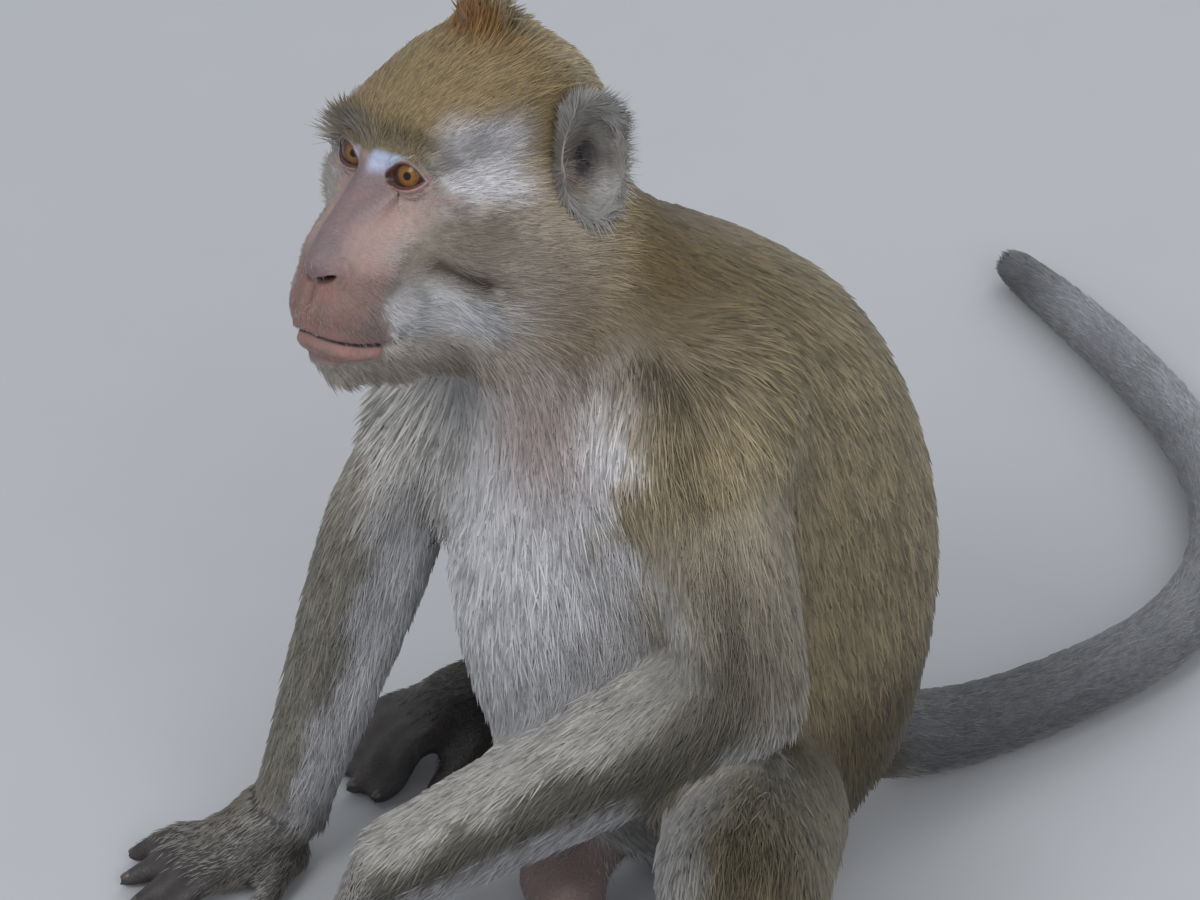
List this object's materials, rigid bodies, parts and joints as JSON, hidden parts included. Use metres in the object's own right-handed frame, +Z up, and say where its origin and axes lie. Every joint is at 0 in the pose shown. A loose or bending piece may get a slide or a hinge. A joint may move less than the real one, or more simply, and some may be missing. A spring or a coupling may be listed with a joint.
{
  "type": "seated long-tailed macaque",
  "caption": "Life-size still model of a seated long-tailed macaque, leaning on its hands with its knees drawn up and its long tail curled round on the floor behind it.",
  "frame": {"origin": "middle of the flat under the seat, on the floor", "axes": "+Z up, -Y the way the chest faces, +X towards the monkey's left"},
  "size_m": [0.4385, 0.5587, 0.3814],
  "materials": {
    "belly": "short olive-brown coat with dark and yellow flecks, in place of fur",
    "chest": "short olive-brown coat with dark and yellow flecks, in place of fur",
    "ear_left": "thin pinkish-brown skin",
    "ear_right": "thin pinkish-brown skin",
    "eye_left": "wet amber eye with a dark pupil",
    "eye_right": "wet amber eye with a dark pupil",
    "foot_left": "dark brown-grey creased skin",
    "foot_right": "dark brown-grey creased skin",
    "forearm_left": "pale grey-brown coat of the limbs and throat, in place of fur",
    "forearm_right": "pale grey-brown coat of the limbs and throat, in place of fur",
    "hand_left": "dark brown-grey creased skin",
    "hand_right": "dark brown-grey creased skin",
    "head": "bare pinkish skin of the face under an olive crown",
    "neck": "pale grey-brown coat of the limbs and throat, in place of fur",
    "pelvis": "golden-brown coat of the rump, in place of fur",
    "scrotum": "soft pinkish-orange skin",
    "shin_left": "pale grey-brown coat of the limbs and throat, in place of fur",
    "shin_right": "pale grey-brown coat of the limbs and throat, in place of fur",
    "tail_1": "grey-brown coat of the tail, in place of fur",
    "tail_2": "grey-brown coat of the tail, in place of fur",
    "tail_3": "grey-brown coat of the tail, in place of fur",
    "tail_4": "grey-brown coat of the tail, in place of fur",
    "thigh_left": "pale grey-brown coat of the limbs and throat, in place of fur",
    "thigh_right": "pale grey-brown coat of the limbs and throat, in place of fur",
    "upper_arm_left": "short olive-brown coat with dark and yellow flecks, in place of fur",
    "upper_arm_right": "short olive-brown coat with dark and yellow flecks, in place of fur"
  },
  "bodies": {
    "root": {"belly": "belly", "chest": "chest", "ear_left": "ear_left", "ear_right": "ear_right", "eye_left": "eye_left", "eye_right": "eye_right", "foot_left": "foot_left", "foot_right": "foot_right", "forearm_left": "forearm_left", "forearm_right": "forearm_right", "hand_left": "hand_left", "hand_right": "hand_right", "head": "head", "neck": "neck", "pelvis": "pelvis", "scrotum": "scrotum", "shin_left": "shin_left", "shin_right": "shin_right", "tail_1": "tail_1", "tail_2": "tail_2", "tail_3": "tail_3", "tail_4": "tail_4", "thigh_left": "thigh_left", "thigh_right": "thigh_right", "upper_arm_left": "upper_arm_left", "upper_arm_right": "upper_arm_right"}
  },
  "joints": []
}
